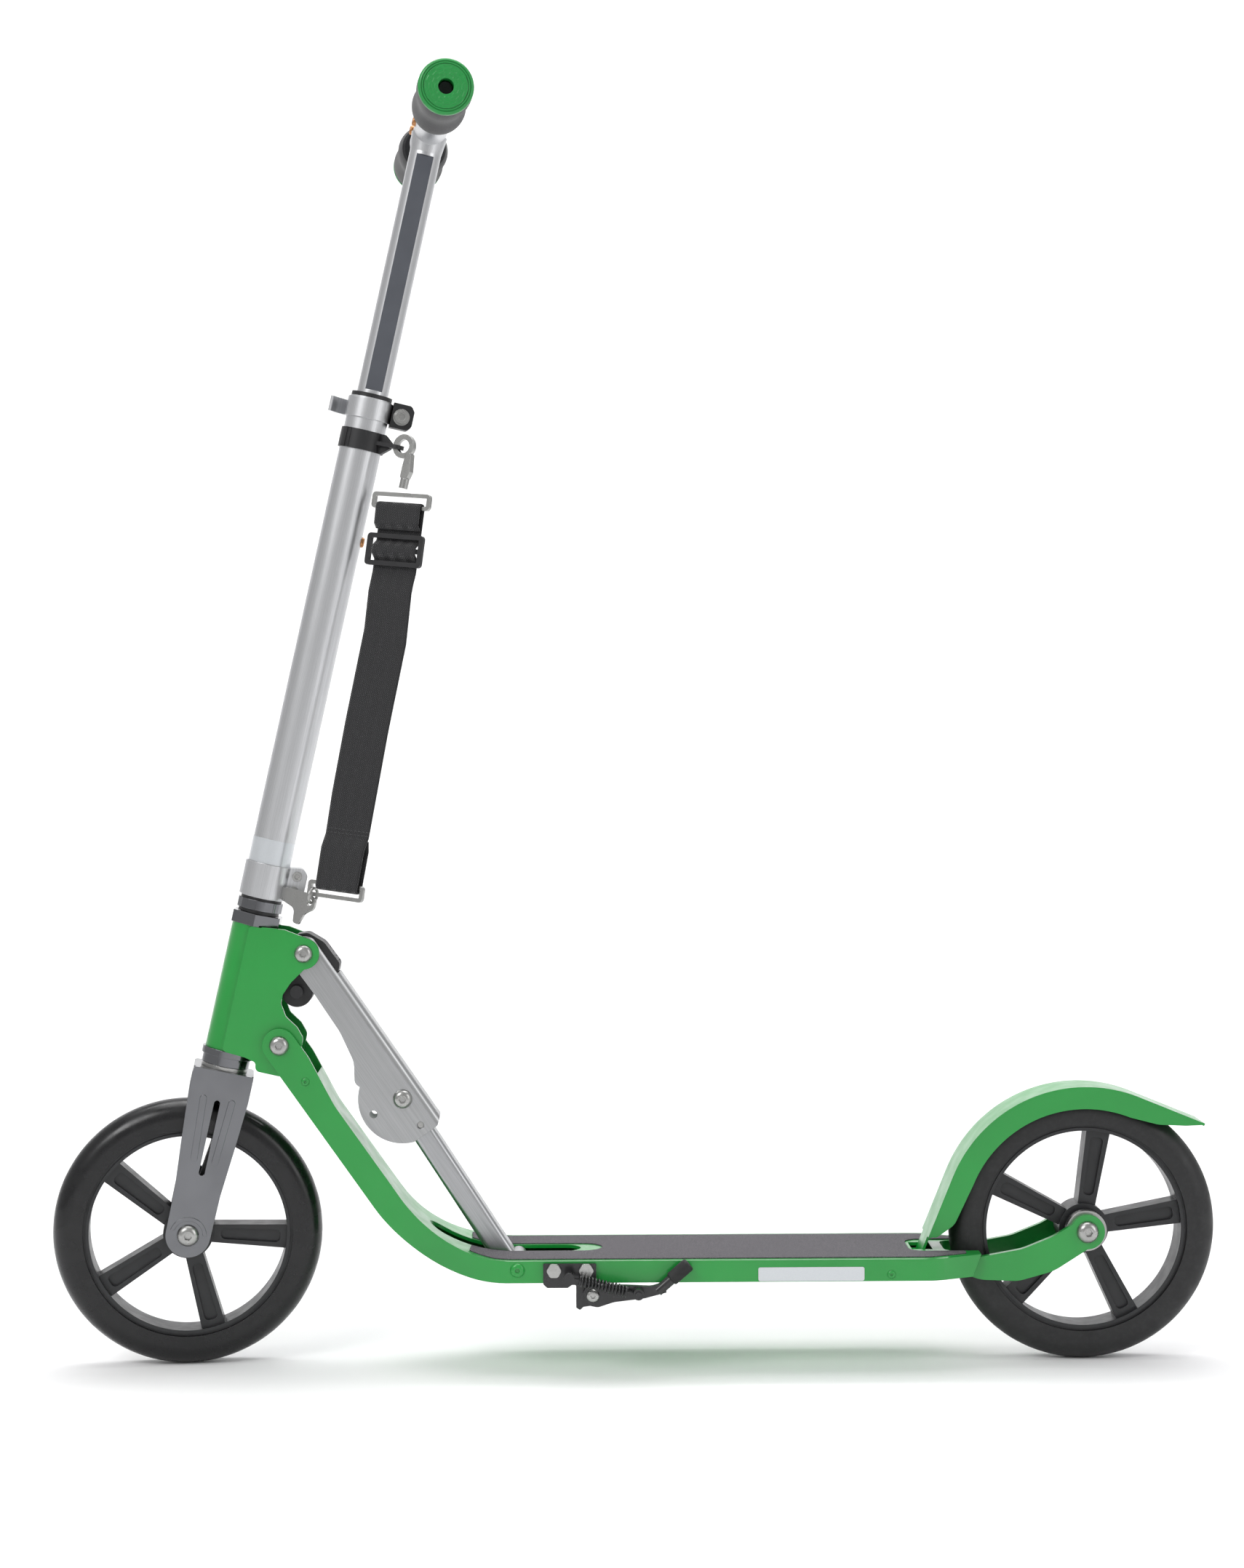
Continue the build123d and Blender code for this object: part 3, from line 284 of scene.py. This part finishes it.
def reflective():
    """Plain bright film with a very fine, even grain and no marks."""
    f = Finish("reflective", 0.0002).set(Metallic=0.55, Coat_Weight=0.6, Coat_Roughness=0.08)
    grain = f.noise(3200, 1)
    f.tint(f.ramp(grain, 0.0, 1.0), srgb(198, 202, 206), srgb(206, 210, 213))
    f.roughness(grain, 0.28, 0.36)
    f.bump(grain, 0.000006, 0.3)
    return f.done()


def cord_finish():
    f = Finish("cord", 0.0002).set(Sheen_Weight=0.2)
    strands = f.noise(1.0, 2, 0.6, f.stretched((0, 1, 0), 900, 2400))
    f.tint(f.ramp(strands, 0.0, 1.0), srgb(28, 28, 30), srgb(52, 52, 55))
    f.roughness(strands, 0.75, 0.9)
    f.bump(strands, 0.0002, 0.7)
    return f.done()


def woven():
    """Webbing: ribs across the strap in two staggered columns of floats."""
    f = Finish("webbing", 0.0002).set(Sheen_Weight=0.35, Sheen_Roughness=0.4, Specular_IOR_Level=0.35)
    uv = f.add("ShaderNodeTexCoord").outputs["UV"]
    split = f.add("ShaderNodeSeparateXYZ")
    f.link(uv, split.inputs[0])
    across, along = split.outputs[0], split.outputs[1]
    zigzag = f.math("PINGPONG", across, 0.005)
    picks = f.math("SINE", f.math("MULTIPLY", f.math("ADD", along, zigzag), 2.0 * math.pi / 0.0019))
    ends = f.math("SINE", f.math("MULTIPLY", across, 2.0 * math.pi / 0.00165))
    weave = f.math("ADD", f.math("MULTIPLY", picks, 0.6), f.math("MULTIPLY", ends, 0.4))
    height = f.ramp(weave, 0.0, 1.0, -1.0, 1.0)
    # painted shade: the colour follows the weave's height, dark in the hollows between the ribs and lighter
    # on the raised floats
    f.tint(height, srgb(12, 12, 13), srgb(48, 48, 50))
    f.roughness(height, 0.6, 0.8, 0.0, 1.0)
    f.bump(height, 0.00045, 0.9)
    f.bump(f.noise(2200, 2, 0.7), 0.0001, 0.5)
    return f.done()


def thread():
    """Sewing thread, a little paler than the webbing."""
    f = Finish("thread", 0.0001).set(Sheen_Weight=0.3)
    twist = f.noise(3000, 2)
    f.tint(f.ramp(twist, 0.0, 1.0), srgb(38, 38, 40), srgb(60, 60, 62))
    f.roughness(twist, 0.6, 0.75)
    f.bump(twist, 0.0001, 0.5)
    return f.done()


SILVER = srgb(207, 208, 210)
STRUT_AXIS = Vector((90.35 - 252.75, 0, 80.2 - 316.5)).normalized()
GREEN_CAP = srgb(16, 138, 58)


def cap_centre(node):
    low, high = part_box(node)
    return tuple((a + b) / 2 for a, b in zip(low, high))


def bar_axis():
    return tuple((STEER.to_3x3() @ Vector((0, 1, 0))).normalized())


FINISHES = {
    "green_paint": green_paint,
    "grip_tape": grip_sheet,
    "silver_alloy": lambda: alloy("silver_alloy", SILVER, STEM_AXIS),
    "steel": lambda: chrome("steel", srgb(172, 172, 170), 0.24, 90),
    "chrome": lambda: chrome("chrome", srgb(118, 119, 122), 0.1),
    "black_plastic": lambda: plastic("black_plastic", srgb(26, 26, 28), 0.38),
    "black_steel": lambda: plastic("black_steel", srgb(22, 22, 24), 0.27, 500, 0.00003, 0.3),
    "tyre": lambda: tyre("tyre", srgb(10, 10, 12), 0.2),
    "wheel_core": lambda: plastic("wheel_core", srgb(30, 31, 33), 0.34, 1100, 0.00003),
    "foam": foam,
    "green_plastic": lambda: plastic("green_plastic", GREEN_CAP, 0.4),
    "brass": lambda: chrome("brass", srgb(176, 128, 88), 0.26, 120),
    "webbing": woven,
    "reflective": reflective,
    "dark_inlay": lambda: plastic("dark_inlay", srgb(78, 81, 88), 0.35, 800, 0.00002, 0.2),
    "rubber": lambda: plastic("rubber", srgb(24, 24, 25), 0.62, 700, 0.00006),
    "cord": cord_finish,
}
OWN_FINISHES = {
    "upper_strut": lambda: alloy("strut_alloy", srgb(176, 177, 178), STRUT_AXIS),
    "lower_strut": lambda: alloy("lower_strut_alloy", srgb(176, 177, 179), STRUT_AXIS),
    "rear_tyre": lambda: tyre("rear_tyre_urethane", srgb(26, 26, 27), 0.42),
    "bar_left": lambda: alloy("bar_alloy_left", SILVER, bar_axis()),
    "bar_right": lambda: alloy("bar_alloy_right", SILVER, bar_axis()),
    "end_cap_left": lambda: cap_plastic("cap_left", GREEN_CAP, cap_centre("end_cap_left"), bar_axis()),
    "end_cap_right": lambda: cap_plastic("cap_right", GREEN_CAP, cap_centre("end_cap_right"), bar_axis()),
}


def dress_cad():
    made = {}
    for name, node in frame["nodes"].items():
        key = name if name in OWN_FINISHES else SLOT_OF[name]
        if key not in made:
            made[key] = OWN_FINISHES[key]() if key in OWN_FINISHES else FINISHES[key]()
        node.data.materials.clear()
        node.data.materials.append(made[key])
    return made


# ---- shoulder strap ------------------------------------------------------------------------------
TILT = math.radians(6)
TOP = (-46.5, 586.0)              # the tackle's origin in the strap's plane
HALF_THICK = 0.66
LOOP_TOP = (-10.8, 3.2)           # height and radius of the turn round the upper loop
LOOP_FOOT = (-301.0, 3.2)         # and round the lower one
LEFT_EDGE = [(590, -24.9), (545, -31), (524, -33.3), (480, -38.9), (408, -40.2), (353, -42.4), (270, -48.8)]
RIGHT_EDGE = [(590, -65.2), (545, -70.6), (521, -72.6), (475, -78.7), (408, -80), (353, -82.4), (270, -86)]


def along_edge(edge, height):
    """Where the edge of the strap is at a height."""
    for (top, x_top), (low, x_low) in zip(edge, edge[1:]):
        if height >= low or low == edge[-1][0]:
            return x_top + (x_low - x_top) * (top - height) / (top - low)


def turn(centre_z, radius, start, end, steps=10):
    """Half turn of webbing round a loop bar, as (y, z) points."""
    angles = [math.radians(start + (end - start) * i / steps) for i in range(steps + 1)]
    return [(radius * math.cos(a), centre_z + radius * math.sin(a)) for a in angles]


def strap_path():
    path = [(-0.2, -27.5), (3.2, -24.0)]
    path += turn(*LOOP_TOP, 0, 180)
    path += [(-2.6, -36.5), (2.5, -41), (2.5, -46), (-2.6, -50.5), (-2.6, -60)]
    path += [(0, -75), (0, -262), (3.2, -272)]
    path += turn(*LOOP_FOOT, 0, -180)
    path += [(-3.2, -272), (-0.7, -264.5)]
    return path


def resample(path, step):
    """Points about one step apart, with the corners kept."""
    points = [path[0]]
    for a, b in zip(path, path[1:]):
        length = math.dist(a, b)
        count = max(1, round(length / step))
        for i in range(1, count + 1):
            points.append((a[0] + (b[0] - a[0]) * i / count, a[1] + (b[1] - a[1]) * i / count))
    return points


def edge_x(edge, z):
    """The edge's place across the tackle at one height of the tackle."""
    x = 0.0
    for _ in range(6):
        height = TOP[1] - x * math.sin(TILT) + z * math.cos(TILT)
        x = (along_edge(edge, height) - TOP[0] - z * math.sin(TILT)) / math.cos(TILT)
    return x


def strap_point(x, y, z):
    """A tackle point, placed in the row frame, in metres."""
    local = Vector((TOP[0] + x * math.cos(TILT) + z * math.sin(TILT), y,
                    TOP[1] - x * math.sin(TILT) + z * math.cos(TILT)))
    return (STRAP @ local) * MM


def normals(points):
    out = []
    for i in range(len(points)):
        a = points[max(0, i - 1)]
        b = points[min(len(points) - 1, i + 1)]
        size = math.dist(a, b)
        out.append(((b[1] - a[1]) / size, -(b[0] - a[0]) / size))
    return out


def mesh_piece(name, vertices, faces, uvs=None):
    mesh = bpy.data.meshes.new(name)
    mesh.from_pydata(vertices, [], faces)
    if uvs:
        layer = mesh.uv_layers.new(name="UVMap")
        for loop in mesh.loops:
            layer.data[loop.index].uv = uvs[loop.vertex_index]
    mesh.shade_smooth()
    piece = bpy.data.objects.new(name, mesh)
    bpy.context.scene.collection.objects.link(piece)
    return piece


def make_webbing():
    """One woven strap, sewn round a loop at each end, thinner at its selvedges."""
    points = resample(strap_path(), 1.6)
    sides = normals(points)
    columns = 24
    ring = [(i / columns, 1.0) for i in range(columns + 1)]
    ring += [(share, -1.0) for share, _ in reversed(ring)]
    vertices, uvs, faces = [], [], []
    travelled = 0.0
    for i, (y, z) in enumerate(points):
        if i:
            travelled += math.dist(points[i - 1], points[i])
        left, right = edge_x(LEFT_EDGE, z), edge_x(RIGHT_EDGE, z)
        for share, sign in ring:
            thin = 0.45 if share in (0.0, 1.0) else 1.0
            off = sign * HALF_THICK * thin
            x = left + (right - left) * share
            vertices.append(strap_point(x, y + sides[i][0] * off, z + sides[i][1] * off))
            uvs.append((share * 0.04, travelled * MM))
    size = len(ring)
    for i in range(len(points) - 1):
        for j in range(size):
            k = (j + 1) % size
            faces.append((i * size + j, i * size + k, (i + 1) * size + k, (i + 1) * size + j))
    faces.append(tuple(range(size)))
    last = (len(points) - 1) * size
    faces.append(tuple(last + j for j in reversed(range(size))))
    return mesh_piece("strap_webbing", vertices, faces, uvs), travelled * MM


def make_stitches():
    """Rows of short bar stitches across the strap where its ends are sewn down."""
    vertices, faces = [], []
    for z in (-257.5, -260.5):
        left, right = edge_x(LEFT_EDGE, z), edge_x(RIGHT_EDGE, z)
        count = 11
        for n in range(count):
            centre = left + (right - left) * (n + 0.5) / count
            for side in (1, -1):
                base = len(vertices)
                for i in range(7):
                    t = -1 + i / 3
                    width = 0.28 * math.sqrt(max(0.02, 1 - t * t * 0.9))
                    rise = HALF_THICK + 0.22 * (1 - t * t) - 0.05
                    for turn_at in range(8):
                        angle = turn_at * math.pi / 4
                        vertices.append(strap_point(
                            centre + 1.25 * t, side * (rise + 0.3 * width * math.cos(angle)),
                            z + width * math.sin(angle)))
                for i in range(6):
                    for j in range(8):
                        k = (j + 1) % 8
                        near, far = base + i * 8, base + (i + 1) * 8
                        faces.append((near + j, near + k, far + k, far + j))
                faces.append(tuple(base + j for j in range(8)))
                faces.append(tuple(base + 48 + j for j in reversed(range(8))))
    return mesh_piece("strap_stitches", vertices, faces)


made = dress_cad()
webbing, strap_length = make_webbing()
stitches = make_stitches()
webbing.data.materials.append(made["webbing"])
stitches.data.materials.append(thread())
for piece in (webbing, stitches):
    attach(piece, "steering")
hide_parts("webbing")

# ---- floor, backdrop and light -------------------------------------------------------------------
STUDIO_WIDTH = 12.0
BACK_Y = -3.2
BEND = 1.2


def make_studio():
    """Pale floor that curves up into a pale wall."""
    profile = [(7.0, 0.0), (BACK_Y + BEND, 0.0)]
    profile += [(BACK_Y + BEND - BEND * math.sin(a), BEND - BEND * math.cos(a))
                for a in [math.pi / 2 * i / 12 for i in range(1, 13)]]
    profile += [(BACK_Y, 7.0)]
    vertices = [(x, y, z) for y, z in profile for x in (-STUDIO_WIDTH / 2, STUDIO_WIDTH / 2)]
    faces = [(2 * i, 2 * i + 1, 2 * i + 3, 2 * i + 2) for i in range(len(profile) - 1)]
    floor = mesh_piece("studio", vertices, faces)
    paper = Finish("paper", 0.0001).set(Specular_IOR_Level=0.2)
    grain = paper.noise(6, 2)
    paper.tint(paper.ramp(grain, 0.0, 1.0), (0.88, 0.88, 0.88, 1), (0.86, 0.86, 0.87, 1))
    paper.roughness(grain, 0.7, 0.8)
    floor.data.materials.append(paper.done())
    return floor


def softbox(name, place, target, width, height, power):
    data = bpy.data.lights.new(name, "AREA")
    data.shape = "RECTANGLE"
    data.size, data.size_y = width, height
    data.energy = power
    lamp = bpy.data.objects.new(name, data)
    bpy.context.scene.collection.objects.link(lamp)
    lamp.location = place
    lamp.rotation_euler = (Vector(target) - Vector(place)).to_track_quat("-Z", "Y").to_euler()
    return lamp


MIDDLE = (0.0, 0.0, 0.45)
lights = [
    softbox("key", (1.9, 2.2, 2.6), MIDDLE, 1.5, 1.5, 50),
    softbox("fill", (-2.6, 1.8, 1.4), MIDDLE, 1.6, 2.2, 20),
    softbox("overhead", (0.0, -0.4, 3.0), (0, 0, 0.2), 2.4, 2.0, 46),
    softbox("wall", (0.0, -0.9, 2.9), (0, BACK_Y, 1.0), 4.0, 0.8, 48),
]
make_studio()

world = bpy.data.worlds.new("studio_air")
bpy.context.scene.world = world
world.use_nodes = True
world.node_tree.nodes["Background"].inputs["Color"].default_value = (1.0, 1.0, 1.0, 1.0)
world.node_tree.nodes["Background"].inputs["Strength"].default_value = 0.55

# ---- camera --------------------------------------------------------------------------------------
def make_camera():
    yaw, pitch, roll = -0.0191, -0.0324, 0.0023
    ahead, right, up = Vector((0, -1, 0)), Vector((-1, 0, 0)), Vector((0, 0, 1))
    spin = Matrix.Rotation(yaw, 3, up)
    ahead, right = spin @ ahead, spin @ right
    spin = Matrix.Rotation(pitch, 3, right)
    ahead, up = spin @ ahead, spin @ up
    spin = Matrix.Rotation(roll, 3, ahead)
    right, up = spin @ right, spin @ up
    data = bpy.data.cameras.new("camera")
    data.sensor_width = 36.0
    data.sensor_fit = "AUTO"
    data.lens = 67.77
    data.clip_start, data.clip_end = 0.05, 60.0
    data.dof.use_dof = False
    camera = bpy.data.objects.new("camera", data)
    bpy.context.scene.collection.objects.link(camera)
    camera.matrix_world = Matrix((
        (right.x, up.x, -ahead.x, 0.05308),
        (right.y, up.y, -ahead.y, 2.26235),
        (right.z, up.z, -ahead.z, 0.51771),
        (0, 0, 0, 1),
    ))
    bpy.context.scene.camera = camera


make_camera()
bpy.context.scene.view_settings.view_transform = "Standard"
bpy.context.scene.view_settings.look = "None"
bpy.context.scene.view_settings.exposure = 0.0

bpy.context.view_layer.update()
